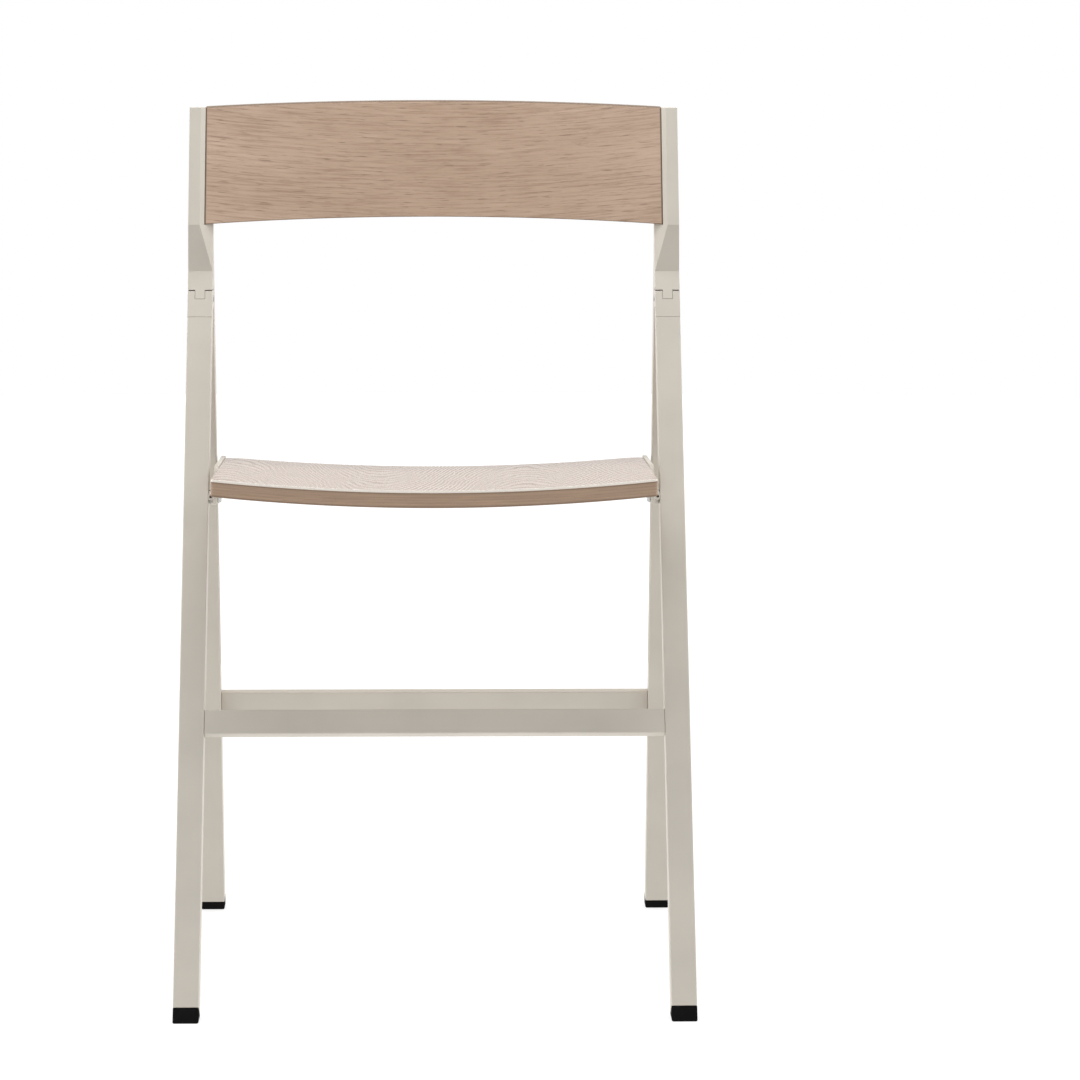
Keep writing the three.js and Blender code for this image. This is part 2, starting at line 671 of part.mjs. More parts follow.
// A bracket's plate in side view: round below the pivot, slanting up in front to its level top.
function plateOutline() {
  const r = BRACKET_CORNER;
  const quarter = Math.PI / 2;
  const low = -BRACKET_BELOW + r;
  const high = SEAT_RISE + BRACKET_ABOVE - r;
  const front = -BRACKET_AHEAD + r;
  const rear = pinBack + BRACKET_BEHIND - r;
  const slant = Math.atan2(high - low, BRACKET_TOP_START - front) + quarter;
  return outline([
    ...arc(front, low, r, slant, quarter * 3),
    ...arc(rear, low, r, -quarter, 0),
    ...arc(rear, high, r, 0, quarter),
    ...arc(BRACKET_TOP_START, high, r, quarter, slant),
  ]);
}

// The rail that carries the flange ahead of the pivot, with the tapped hole in its end.
function bracketRail() {
  const x = (plateInner + plateOuter) / 2;
  const z = flangeTopOut - RAIL_HEIGHT / 2;
  const section = roundedRectangle(BRACKET_THICKNESS, RAIL_HEIGHT, RAIL_EDGE);
  const rail = alongDepth(section, -RAIL_AHEAD, 0).translate(x, 0, z);
  const length = RAIL_HOLE_DEPTH + OVERRUN;
  const hole = new THREE.CylinderGeometry(RAIL_HOLE_RADIUS, RAIL_HOLE_RADIUS, length, HOLE_SIDES);
  hole.translate(x, -RAIL_AHEAD - OVERRUN + length / 2, z);
  return solid(rail).subtract(solid(hole));
}

// A seat bracket: plate, rail and flange in one piece.
function seatBracket() {
  const overlap = plateInner + BRACKET_THICKNESS / 2;
  const flange = alongDepth(outline([
    [flangeEnd, flangeTopIn - FLANGE_THICKNESS],
    [overlap, flangeTopOut - FLANGE_THICKNESS],
    [overlap, flangeTopOut],
    [flangeEnd, flangeTopIn],
  ]), -FLANGE_AHEAD, FLANGE_BEHIND);
  const plate = acrossWidth(plateOutline(), plateInner, plateOuter);
  let body = solid(plate).add(bracketRail()).add(solid(flange));
  body = body.subtract(solid(pinAlongX(PIVOT_RADIUS + FIT, innerX - LEG_WIDTH, innerX, 0, 0)));
  const pinHole = pinAlongX(SLIDER_PIN_RADIUS + FIT, innerX - LEG_WIDTH, innerX, pinBack, SLIDER_PIN_RISE);
  body = body.subtract(solid(pinHole));
  for (const y of SEAT_SCREW_PLACES) {
    const hole = screwHole(FLANGE_THICKNESS + FIT + SCREW_BITE);
    body = body.subtract(solid(hole.applyMatrix4(seatScrewPlace(y))));
  }
  return shell(body);
}

// The screw that the seat turns on, headed on the bracket's inner side.
function pivotScrew() {
  const profile = [
    [0, -PIVOT_HEAD_HEIGHT],
    [PIVOT_HEAD_RADIUS * Math.cos(Math.PI / 6), -PIVOT_HEAD_HEIGHT],
    [PIVOT_HEAD_RADIUS, -PIVOT_HEAD_HEIGHT / 2],
    [PIVOT_HEAD_RADIUS, 0],
    [PIVOT_RADIUS, 0],
    [PIVOT_RADIUS, innerX + PIVOT_REACH - plateInner + FIT],
    [0, innerX + PIVOT_REACH - plateInner + FIT],
  ];
  return lathe(profile).rotateZ(-Math.PI / 2).translate(plateInner - FIT, 0, 0);
}

// The threaded insert in the leg's inner wall, with its flange outside.
function pivotInsert() {
  const bore = PIVOT_RADIUS + FIT;
  const face = innerX - FIT;
  const body = solid(ringAlongX(bore, INSERT_FLANGE_RADIUS, face - INSERT_FLANGE_THICKNESS, face));
  const sleeve = ringAlongX(bore, bore + INSERT_WALL, face - FIT, innerX + PIVOT_REACH - FIT);
  return shell(body.add(solid(sleeve)));
}

// The spacer between bracket and insert.
function seatSpacer() {
  const end = innerX - 2 * FIT - INSERT_FLANGE_THICKNESS;
  return ringAlongX(PIVOT_RADIUS + FIT, SPACER_RADIUS, plateOuter + FIT, end);
}

// A front leg: the tube with the hole for the insert.
function frontLeg() {
  const radius = PIVOT_RADIUS + 2 * FIT + INSERT_WALL;
  const hole = pinAlongX(radius, innerX - OVERRUN, innerX + LEG_WALL + LEG_EDGE, 0, -SEAT_DROP);
  return shell(solid(legTube(frontTubeEnd)).subtract(solid(hole)));
}

// The pin on the bracket that works the glide. It ends just short of the leg.
function sliderPin() {
  const pin = solid(pinAlongX(SLIDER_PIN_RADIUS, plateInner + FIT, innerX - FIT, 0, 0));
  const from = plateOuter + FIT;
  const collar = pinAlongX(SLIDER_COLLAR_RADIUS, from, from + SLIDER_COLLAR_THICKNESS, 0, 0);
  return shell(pin.add(solid(collar)));
}

// The glide: a neck in the groove and a head inside the tube.
function seatGlide() {
  const neck = slot(GROOVE_WIDTH - 2 * FIT, GLIDE_LENGTH);
  const headFrom = innerX + LEG_WALL + FIT;
  const head = slot(GLIDE_HEAD_WIDTH, GLIDE_HEAD_LENGTH);
  const body = solid(acrossWidth(neck, innerX, headFrom + FIT));
  return shell(body.add(solid(acrossWidth(head, headFrom, headFrom + GLIDE_HEAD_THICKNESS))));
}

// Adds one mesh to its group.
function add(group, name, geometry, material, side = 1) {
  const mesh = new THREE.Mesh(geometry, material);
  mesh.name = name;
  mesh.scale.x = side;
  group.add(mesh);
  return mesh;
}

// Adds a left and a right copy. The right one is the mirror image.
function addPair(group, name, geometry, material) {
  return [
    add(group, `${name}_left`, geometry, material, 1),
    add(group, `${name}_right`, geometry, material, -1),
  ];
}

// The hinge's place, so that the feet's outer edges lie equally far from the origin
const frontReach = onFrontLeg(-farFace, frontFloor(-farFace))[0];
const rearReach = onRearLeg(farFace, rearFloor(farFace))[0];

const chair = new THREE.Group();
const hinge = new THREE.Group();
hinge.position.set(0, -(frontReach + rearReach) / 2, HINGE_HEIGHT);
chair.add(hinge);

// Front legs, drawn along their own length
const frontLegs = new THREE.Group();
frontLegs.rotation.x = -frontAngle;
hinge.add(frontLegs);
for (const leg of addPair(frontLegs, 'front_leg', frontLeg(), powderCoat)) {
  leg.position.y = -legMiddle;
}
const frontBarY = -farFace + BAR_SETBACK + BAR_DEPTH / 2;
add(frontLegs, 'front_crossbar', crossbar(frontBarY, -FRONT_BAR_DROP - BAR_HEIGHT / 2), powderCoat);
for (const insert of addPair(frontLegs, 'pivot_insert', pivotInsert(), steel)) {
  insert.position.set(0, -legMiddle, -SEAT_DROP);
}
addPair(hinge, 'front_cap', frontCap(), powderCoat);
const frontFoot = foot(onFrontLeg, frontTubeEnd, frontFloor, [-farFace, -HINGE_SETBACK], -frontAngle);
addPair(hinge, 'front_foot', frontFoot, blackRubber);

// Rear legs, uprights and back
const rearLegs = new THREE.Group();
rearLegs.rotation.x = rearAngle;
hinge.add(rearLegs);
for (const leg of addPair(rearLegs, 'rear_leg', rearLeg(), powderCoat)) {
  leg.position.y = legMiddle;
}
const rearBarY = farFace - BAR_SETBACK - BAR_DEPTH / 2;
add(rearLegs, 'rear_crossbar', crossbar(rearBarY, -REAR_BAR_DROP - BAR_HEIGHT / 2), powderCoat);
for (const glide of addPair(rearLegs, 'seat_glide', seatGlide(), nylon)) {
  glide.position.set(0, legMiddle, -openDrop);
}
addPair(hinge, 'upright', upright(), powderCoat);
addPair(hinge, 'hinge_pin', hingePin(), steel);
addPair(hinge, 'hinge_bush', hingeBush(), nylon);
const rearFoot = foot(onRearLeg, rearTubeEnd, rearFloor, [HINGE_SETBACK, farFace], rearAngle);
addPair(hinge, 'rear_foot', rearFoot, blackRubber);
add(hinge, 'back_panel', backPanel(), paleOak);
for (const [name, level] of [['low', -1], ['high', 1]]) {
  const tabScrew = screw(TAB_THICKNESS + SCREW_BITE).applyMatrix4(panelScrewPlace(level));
  addPair(hinge, `panel_screw_${name}`, tabScrew, steel);
}

// Seat, with its brackets, screws and pins
const seat = new THREE.Group();
seat.position.set(0, seatPivot[0], seatPivot[1]);
seat.rotation.x = -slope;
hinge.add(seat);
add(seat, 'seat_panel', seatPanel(), paleOak);
addPair(seat, 'seat_bracket', seatBracket(), powderCoat);
addPair(seat, 'seat_pivot_screw', pivotScrew(), steel);
addPair(seat, 'seat_spacer', seatSpacer(), nylon);
for (const pin of addPair(seat, 'slider_pin', sliderPin(), steel)) {
  pin.position.set(0, pinBack, SLIDER_PIN_RISE);
}
SEAT_SCREW_PLACES.forEach((y, i) => {
  const seatScrew = screw(FLANGE_THICKNESS + SCREW_BITE).applyMatrix4(seatScrewPlace(y));
  addPair(seat, `seat_screw_${i + 1}`, seatScrew, steel);
});

export default chair;
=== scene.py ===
import json
import math

import bmesh
import bpy
import numpy as np
from bpy.props import FloatProperty, FloatVectorProperty, IntProperty, PointerProperty
from mathutils import Matrix, Vector


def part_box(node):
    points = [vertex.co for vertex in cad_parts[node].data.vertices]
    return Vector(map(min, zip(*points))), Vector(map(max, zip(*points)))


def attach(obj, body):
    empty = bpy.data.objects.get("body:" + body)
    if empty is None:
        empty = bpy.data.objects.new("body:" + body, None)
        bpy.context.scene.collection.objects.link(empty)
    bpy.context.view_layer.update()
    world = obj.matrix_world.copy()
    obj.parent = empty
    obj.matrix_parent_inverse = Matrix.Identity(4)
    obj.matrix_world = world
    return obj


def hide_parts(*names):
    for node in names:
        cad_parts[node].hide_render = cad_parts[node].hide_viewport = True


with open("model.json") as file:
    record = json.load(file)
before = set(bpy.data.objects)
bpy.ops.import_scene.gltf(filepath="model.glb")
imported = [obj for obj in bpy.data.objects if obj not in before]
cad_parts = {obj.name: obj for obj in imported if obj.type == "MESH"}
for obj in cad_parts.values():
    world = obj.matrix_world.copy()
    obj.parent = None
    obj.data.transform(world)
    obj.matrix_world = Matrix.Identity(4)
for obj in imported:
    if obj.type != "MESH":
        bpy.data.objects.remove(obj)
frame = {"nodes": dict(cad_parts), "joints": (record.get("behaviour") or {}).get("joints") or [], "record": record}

bl_info = {
    "name": "Folding Chair",
    "version": (1, 0, 0),
    "blender": (4, 5, 0),
    "location": "View3D > Sidebar > Chair",
    "description": "Builds a folding chair with an oak back and seat around its working frame",
    "category": "Add Mesh",
}

SIDES = ("left", "right")
BODIES = frame["record"]["behaviour"]["bodies"]
BODY_OF = {node: body for body, nodes in BODIES.items() for node in nodes}
JOINTS = {joint["name"]: joint for joint in frame["joints"]}
HINGE = Vector(JOINTS["front_fold"]["pos_m"])
SEAT_PIVOT = Vector(JOINTS["seat_tilt"]["pos_m"])
MILLIMETRE = 0.001

# The finer pieces
WELD = 0.06 * MILLIMETRE  # corners that lie closer are one
FLAT_TURN = math.radians(0.4)  # facets that turn less are one face
SHARP_TURN = math.radians(40)  # edges that turn more are shaded sharp
ROUNDED = {"profile": 0.5, "affect": "EDGES", "clamp_overlap": True}  # how a bevel is cut
EDGE_STEPS = 3  # of a rounded edge
JOINT_REACH = 25 * MILLIMETRE  # from the hinge to the last face inside its joint
LEVEL = 0.98  # a level face's normal points this much up or down
SCREW_SOCKET = (2.2 * MILLIMETRE, 1.3 * MILLIMETRE)  # width and depth
PIVOT_SOCKET = (4.0 * MILLIMETRE, 1.8 * MILLIMETRE)

# The bent sheets
RIM_TURN = math.radians(60)  # a flat sheet's rim turns more
RIM_STEPS = 4
FACE_LEVEL = 0.9  # the two faces' normals point this much up or down before the bend
SHEET_SHARP_TURN = math.radians(50)
BACK_ROWS = 8
SEAT_ROWS = 24
FRONT_CORNER_STEPS = 5
REAR_CORNER_STEPS = 12
BOW_STEPS = 24

# Grains of noise to the metre: along the sheet's grain, across it and through the ply
BOLD_PORES = (52.0, 900.0, 400.0)
FINE_PORES = (140.0, 1500.0, 900.0)
BACK_SWAY = (4.0, 30.0, 0.0)
BACK_STREAKS = (26.0, 720.0, 720.0)
BACK_CLOUDS = (6.0, 30.0, 0.0)
SEAT_SWAY = (5.0, 12.0, 0.0)
SEAT_WAVES = (16.0, 40.0, 0.0)
SEAT_STREAKS = (10.0, 500.0, 500.0)
EDGE_STREAKS = (25.0, 25.0, 1500.0)
EDGE_VESSELS = (1300.0, 1300.0, 2200.0)

# And along the axes of the metal and nylon pieces
JOINT_MARKS = (400.0, 2500.0, 2500.0)
TURNING_MARKS = (2500.0, 300.0, 300.0)
SCUFFS = (200.0, 200.0, 900.0)
MIDDLE = (0.3, 0.7)  # where most of a noise's values lie

# The sockets of a Mix node that hold colours
MIX_LOW, MIX_HIGH, MIX_COLOUR = 6, 7, 2

# The stage
LAMP_PLACE = (0.0, 0.2, 2.8)
LAMP_TARGET = (0.0, 0.2, 0.0)
LAMP_SIZE = (1.6, 0.8)
SENSOR_WIDTH = 36.0  # in millimetres
FLOOR_SIDES = 96


# Settings that a user would change


class FrameSettings(bpy.types.PropertyGroup):
    """The powder-coated tubes and castings."""

    colour: FloatVectorProperty(
        name="Coat colour",
        description="Colour of the powder coat",
        subtype="COLOR",
        default=(0.665, 0.62, 0.545),
        min=0.0,
        max=1.0,
    )
    roughness: FloatProperty(
        name="Coat roughness",
        description="How matt the powder coat is",
        subtype="FACTOR",
        default=0.42,
        min=0.0,
        max=1.0,
    )
    casting_edge: FloatProperty(
        name="Casting edge",
        description="Radius of the edges of the cast joints",
        subtype="DISTANCE",
        unit="LENGTH",
        default=0.0005,
        min=0.0,
    )
    cut_edge: FloatProperty(
        name="Cut edge",
        description="Radius left on the cut ends and holes of the tubes",
        subtype="DISTANCE",
        unit="LENGTH",
        default=0.0003,
        min=0.0,
    )


class WoodSettings(bpy.types.PropertyGroup):
    """The bent oak ply of the back and the seat."""

    back_light: FloatVectorProperty(
        name="Back, light wood",
        description="Colour of the pale wood of the back, between the pores",
        subtype="COLOR",
        default=(0.62, 0.457, 0.345),
        min=0.0,
        max=1.0,
    )
    back_dark: FloatVectorProperty(
        name="Back, dark wood",
        description="Colour of the darker growth rings of the back",
        subtype="COLOR",
        default=(0.395, 0.267, 0.184),
        min=0.0,
        max=1.0,
    )
    seat_light: FloatVectorProperty(
        name="Seat, light wood",
        description="Colour of the pale wood of the seat, a little deeper than the back",
        subtype="COLOR",
        default=(0.43, 0.32, 0.244),
        min=0.0,
        max=1.0,
    )
    seat_dark: FloatVectorProperty(
        name="Seat, dark wood",
        description="Colour of the darker growth rings of the seat",
        subtype="COLOR",
        default=(0.325, 0.235, 0.172),
        min=0.0,
        max=1.0,
    )
    pore: FloatVectorProperty(
        name="Pores",
        description="Colour of the open pores",
        subtype="COLOR",
        default=(0.20, 0.125, 0.08),
        min=0.0,
        max=1.0,
    )
    # Partly the cut ply's own brown, partly painted shade: darkened to stand for the shadow in the gaps beside the
    # posts and along the back's rim.
    back_edge_and_painted_shade: FloatVectorProperty(
        name="Back, cut edge",
        description="Colour of the cut edge of the back, browned by the cutter",
        subtype="COLOR",
        default=(0.21, 0.145, 0.095),
        min=0.0,
        max=1.0,
    )
    seat_edge: FloatVectorProperty(
        name="Seat, cut edge",
        description="Colour of the cut edge of the seat",
        subtype="COLOR",
        default=(0.47, 0.325, 0.225),
        min=0.0,
        max=1.0,
    )
    # Painted highlight: this near-white stands for the lamp's reflection on the seat's rounded front edge.
    seat_arris: FloatVectorProperty(
        name="Seat, front arris",
        description="Colour of the pale veneer where it is rounded over the seat's front edge",
        subtype="COLOR",
        default=(1.0, 0.93, 0.84),
        min=0.0,
        max=1.0,
    )
    side_arris: FloatVectorProperty(
        name="Seat, side arris",
        description="Colour of the veneer where it is rounded over the seat's sides and rear",
        subtype="COLOR",
        default=(0.56, 0.43, 0.335),
        min=0.0,
        max=1.0,
    )
    back_radius: FloatProperty(
        name="Back, edge radius",
        description="Rounding of the edges of the back",
        subtype="DISTANCE",
        unit="LENGTH",
        default=0.001,
        min=0.0,
    )
    seat_radius: FloatProperty(
        name="Seat, edge radius",
        description="Rounding of the edges of the seat",
        subtype="DISTANCE",
        unit="LENGTH",
        default=0.0015,
        min=0.0,
    )
    ply: FloatProperty(
        name="Ply",
        description="Thickness of one layer of the ply",
        subtype="DISTANCE",
        unit="LENGTH",
        default=0.00125,
        min=0.0002,
    )
    lacquer: FloatProperty(
        name="Lacquer roughness",
        description="How matt the lacquer is",
        subtype="FACTOR",
        default=0.24,
        min=0.0,
        max=1.0,
    )


class SheetSettings(bpy.types.PropertyGroup):
    """The curves of the back and the seat."""

    back_sag: FloatProperty(
        name="Back curve",
        description="How far the middle of the back lies behind its ends",
        subtype="DISTANCE",
        unit="LENGTH",
        default=0.047,
    )
    back_thickness: FloatProperty(
        name="Back thickness",
        description="Thickness of the back's ply",
        subtype="DISTANCE",
        unit="LENGTH",
        default=0.010,
    )
    back_rise: FloatProperty(
        name="Back rise",
        description="How steeply the long edges of the back climb towards its middle",
        subtype="ANGLE",
        unit="ROTATION",
        default=math.radians(6),
    )
    seat_slope: FloatProperty(
        name="Seat slope",
        description="How far the seat falls towards the rear",
        subtype="ANGLE",
        unit="ROTATION",
        default=math.radians(2.1),
    )
    seat_thickness: FloatProperty(
        name="Seat thickness",
        description="Thickness of the seat's ply",
        subtype="DISTANCE",
        unit="LENGTH",
        default=0.0155,
    )
    rear_bow: FloatProperty(
        name="Rear bow",
        description="How far the seat's rear edge swells in its middle",
        subtype="DISTANCE",
        unit="LENGTH",
        default=0.012,
    )
    rear_corner: FloatProperty(
        name="Rear corners",
        description="Radius of the seat's rear corners",
        subtype="DISTANCE",
        unit="LENGTH",
        default=0.025,
    )
    front_corner: FloatProperty(
        name="Front corners",
        description="Radius of the seat's front corners",
        subtype="DISTANCE",
        unit="LENGTH",
        default=0.003,
    )
    steps: IntProperty(
        name="Steps",
        description="Strips that a curved sheet is bent from",
        default=72,
        min=8,
    )


class StageSettings(bpy.types.PropertyGroup):
    """The floor, the lights and the camera."""

    camera_distance: FloatProperty(
        name="Camera distance",
        description="From the hinges of the chair to the camera, along the floor",
        subtype="DISTANCE",
        unit="LENGTH",
        default=4.2225,
    )
    camera_height: FloatProperty(
        name="Camera height",
        description="Height of the camera above the floor",
        subtype="DISTANCE",
        unit="LENGTH",
        default=0.904,
    )
    camera_pitch: FloatProperty(
        name="Camera pitch",
        description="How far the camera looks down",
        subtype="ANGLE",
        unit="ROTATION",
        default=math.radians(7.0),
    )
    camera_yaw: FloatProperty(
        name="Camera yaw",
        description="How far the camera looks past the chair, to its right",
        subtype="ANGLE",
        unit="ROTATION",
        default=math.radians(1.37),
    )
    camera_roll: FloatProperty(
        name="Camera roll",
        description="How far the camera leans to its left",
        subtype="ANGLE",
        unit="ROTATION",
        default=math.radians(0.063),
    )
    lens: FloatProperty(
        name="Lens",
        description="Focal length in millimetres on a sensor 36 mm wide",
        default=148.1,
        min=1.0,
    )
    floor_colour: FloatVectorProperty(
        name="Floor",
        description="Colour of the floor",
        subtype="COLOR",
        default=(0.36, 0.36, 0.36),
        min=0.0,
        max=1.0,
    )
    floor_radius: FloatProperty(
        name="Floor radius",
        description="Size of the round floor",
        subtype="DISTANCE",
        unit="LENGTH",
        default=6.0,
        min=1.0,
    )
    floor_glow: FloatProperty(
        name="Floor glow",
        description="How strongly the floor is lit from within, under the chair",
        default=0.70,
        min=0.0,
    )
    side_light: FloatProperty(
        name="Side light",
        description="Strength of the light from both sides",
        default=1.45,
        min=0.0,
    )
    rear_light: FloatProperty(
        name="Rear light",
        description="Strength of the light from behind",
        default=1.12,
        min=0.0,
    )
    overhead: FloatProperty(
        name="Overhead lamp",
        description="Power of the soft lamp above the chair, in watts",
        default=39.0,
        min=0.0,
    )


GROUPS = {
    "chair_frame": FrameSettings,
    "chair_wood": WoodSettings,
    "chair_sheets": SheetSettings,
    "chair_stage": StageSettings,
}


# Shader building


class Field:
    """A shader value that takes part in Python sums."""

    def __init__(self, recipe, socket):
        self.recipe = recipe
        self.socket = socket

    def maths(self, operation, *values):
        """A Math node with these values in its sockets."""
        inputs = dict(enumerate(values))
        return self.recipe.node("ShaderNodeMath", {"operation": operation}, inputs)

    def __add__(self, other):
        return self.maths("ADD", self, other)

    __radd__ = __add__

    def __sub__(self, other):
        return self.maths("SUBTRACT", self, other)

    def __rsub__(self, other):
        return self.maths("SUBTRACT", other, self)

    def __mul__(self, other):
        return self.maths("MULTIPLY", self, other)

    __rmul__ = __mul__

    def __truediv__(self, other):
        return self.maths("DIVIDE", self, other)

    def fraction(self):
        return self.maths("FRACT", self)

    def magnitude(self):
        return self.maths("ABSOLUTE", self)

    def cosine(self):
        return self.maths("COSINE", self)

    def between(self, low, high):
        """0 below low, 1 above high and a smooth step between them."""
        settings = {"interpolation_type": "SMOOTHSTEP"}
        inputs = {"Value": self, "From Min": low, "From Max": high}
        return self.recipe.node("ShaderNodeMapRange", settings, inputs)


class Recipe:
    """The node tree of a material or a world."""

    def __init__(self, name, library="materials"):
        self.owner = getattr(bpy.data, library).new(name)
        self.owner.use_nodes = True
        self.tree = self.owner.node_tree
        self.tree.nodes.clear()

    def node(self, kind, settings=None, inputs=None, output=0):
        """Adds a node, sets it up, fills its sockets and gives one of its outputs."""
        node = self.tree.nodes.new(kind)
        for name, value in (settings or {}).items():
            setattr(node, name, value)
        for name, value in (inputs or {}).items():
            if isinstance(value, Field):
                self.tree.links.new(value.socket, node.inputs[name])
            else:
                node.inputs[name].default_value = value
        return Field(self, node.outputs[output]) if node.outputs else None

    def mix(self, factor, low, high):
        """A colour between two others."""
        low, high = (part if isinstance(part, Field) else (*part, 1.0) for part in (low, high))
        inputs = {"Factor": factor, MIX_LOW: low, MIX_HIGH: high}
        return self.node("ShaderNodeMix", {"data_type": "RGBA"}, inputs, output=MIX_COLOUR)

    def joined(self, x, y, z):
        """A vector made of three values."""
        return self.node("ShaderNodeCombineXYZ", {}, {0: x, 1: y, 2: z})

    def noise(self, vector, scale, detail=2.0, roughness=0.5):
        """Soft noise, with about as many grains to the metre as its scale."""
        inputs = {"Vector": vector, "Scale": scale, "Detail": detail, "Roughness": roughness}
        return self.node("ShaderNodeTexNoise", {}, inputs)

    def drawn_noise(self, vector, grains, **details):
        """Noise with its own number of grains to the metre on each axis."""
        inputs = {0: vector, 1: grains}
        drawn = self.node("ShaderNodeVectorMath", {"operation": "MULTIPLY"}, inputs)
        return self.noise(drawn, 1.0, **details)

    def surface(self, inputs):
        """Ends the tree in a Principled shader and gives the material."""
        shader = self.node("ShaderNodeBsdfPrincipled", {}, inputs)
        self.node("ShaderNodeOutputMaterial", {}, {"Surface": shader})
        return self.owner

    def bump(self, height, distance, strength):
        """Relief as deep as distance where the height goes from 0 to 1."""
        inputs = {"Height": height, "Distance": distance, "Strength": strength}
        return self.node("ShaderNodeBump", {}, inputs)


def dimmed(colour, share):
    """A colour brought down, or up, to a share of its strength."""
    return tuple(share * part for part in colour)


def place_in_object(recipe):
    """The place on the piece, in metres, which moves with it."""
    return recipe.node("ShaderNodeTexCoord", {}, {}, output="Object")


def warm_white_coat(settings):
    """Warm white powder coat: a fine orange peel and a satin sheen."""
    peel_grains, cloud_grains, cloud_gloss = 900.0, 14.0, 0.12
    recipe = Recipe("warm_white_coat")
    place = place_in_object(recipe)
    peel = recipe.noise(place, peel_grains, detail=1.0)
    cloud = recipe.noise(place, cloud_grains, detail=3.0)
    shade = dimmed(settings.colour, 0.94)
    return recipe.surface({
        "Base Color": recipe.mix(cloud.between(0.35, 0.7), settings.colour, shade),
        "Roughness": settings.roughness - cloud_gloss / 2 + cloud * cloud_gloss,
        "Specular IOR Level": 0.35,
        "Normal": recipe.bump(peel, 0.05 * MILLIMETRE, 0.35),
    })


def grain_axes(recipe):
    """The sheet's own directions: along the grain, across it and through the ply."""
    grain = recipe.node("ShaderNodeAttribute", {"attribute_name": "grain"}, {}, output="Vector")
    inputs = {0: grain}
    return [recipe.node("ShaderNodeSeparateXYZ", {}, inputs, output=axis) for axis in range(3)]


def early_wood(rings, start, end):
    """1 in the early wood of each ring and 0 in its late wood."""
    return rings.between(*start) * (1.0 - rings.between(*end))


def oak_pores(recipe, fibre, early):
    """Short dark dashes along the grain, thickest in the early wood."""
    late_share, fine_share = 0.4, 0.3
    bold = recipe.drawn_noise(fibre, BOLD_PORES, detail=1.0).between(0.61, 0.71)
    fine = recipe.drawn_noise(fibre, FINE_PORES, detail=1.0).between(0.6, 0.72)
    return bold * (late_share + early * (1.0 - late_share)) + fine * fine_share


def oak_relief(recipe, tone, pores, depth, strength):
    """The lacquered wood's skin: sunk at the pores, and a little in the dark rings."""
    return recipe.bump(1.0 - pores * 0.8 - tone * 0.2, depth, strength)


def back_face(settings, half):
    """Lacquered oak with a fine straight grain that bows a little, with painted shade at the two ends."""
    bow, rings_to_metre, ring_sway = 0.4, 230.0, 4.0
    ring_share, streak_share, cloud_share, pore_share = 0.2, 0.62, 0.25, 0.65
    recipe = Recipe("back_face")
    along, across, through = grain_axes(recipe)
    level = across - along * along * bow
    fibre = recipe.joined(along, level, through)
    sway = recipe.drawn_noise(fibre, BACK_SWAY, detail=3.0)
    rings = (level * rings_to_metre + sway * ring_sway).fraction()
    early = early_wood(rings, (0.0, 0.5), (0.55, 0.95))
    streak = recipe.drawn_noise(fibre, BACK_STREAKS, detail=3.0, roughness=0.65).between(*MIDDLE)
    cloud = recipe.drawn_noise(fibre, BACK_CLOUDS).between(*MIDDLE)
    tone = early * ring_share + streak * streak_share + cloud * cloud_share
    pores = oak_pores(recipe, fibre, early)
    wood = recipe.mix(tone, settings.back_light, settings.back_dark)
    open_wood = recipe.mix(pores * pore_share, wood, settings.pore)
    # Painted shade: a dark band in the edge colour near each end stands for the shadow in the gap beside the
    # posts.
    ends = along.magnitude().between(half - 1.7 * MILLIMETRE, half - 1.2 * MILLIMETRE)
    return recipe.surface({
        "Base Color": recipe.mix(ends, open_wood, settings.back_edge_and_painted_shade),
        "Roughness": settings.lacquer + tone * 0.1 + pores * 0.2,
        "Normal": oak_relief(recipe, tone, pores, 0.08 * MILLIMETRE, 0.8),
    })


def seat_face(settings, front):
    """Lacquered oak with the nested arches of a plain-sawn veneer and a painted highlight along the front arris.
    """
    leaf_turn, leaf_start, leaf_rings = 23.0, 1.2, 11.0
    rings_to_metre, ring_sway, ring_wave = 32.0, 3.0, 1.6
    ring_share, streak_share, pore_share = 0.9, 0.2, 0.2
    recipe = Recipe("seat_face")
    along, across, through = grain_axes(recipe)
    leaf = (across * leaf_turn + leaf_start).cosine()
    fibre = recipe.joined(along, across, through)
    sway = recipe.drawn_noise(fibre, SEAT_SWAY, detail=1.0) * ring_sway
    wave = recipe.drawn_noise(fibre, SEAT_WAVES) * ring_wave
    rings = (leaf * leaf_rings + along * rings_to_metre + sway + wave).fraction()
    early = early_wood(rings, (0.4, 0.75), (0.85, 1.0))
    streak = recipe.drawn_noise(fibre, SEAT_STREAKS).between(*MIDDLE)
    tone = early * ring_share + streak * streak_share
    pores = oak_pores(recipe, fibre, early)
    wood = recipe.mix(tone, settings.seat_light, settings.seat_dark)
    open_wood = recipe.mix(pores * pore_share, wood, settings.pore)
    # Painted highlight: the top's first 2 mm behind the front edge take the highlight colour.
    behind_painted_highlight = along.between(front + 1.6 * MILLIMETRE, front + 2.2 * MILLIMETRE)
    return recipe.surface({
        "Base Color": recipe.mix(behind_painted_highlight, settings.seat_arris, open_wood),
        "Roughness": settings.lacquer + tone * 0.08 + pores * 0.15,
        "Normal": oak_relief(recipe, tone, pores, 0.04 * MILLIMETRE, 0.5),
    })


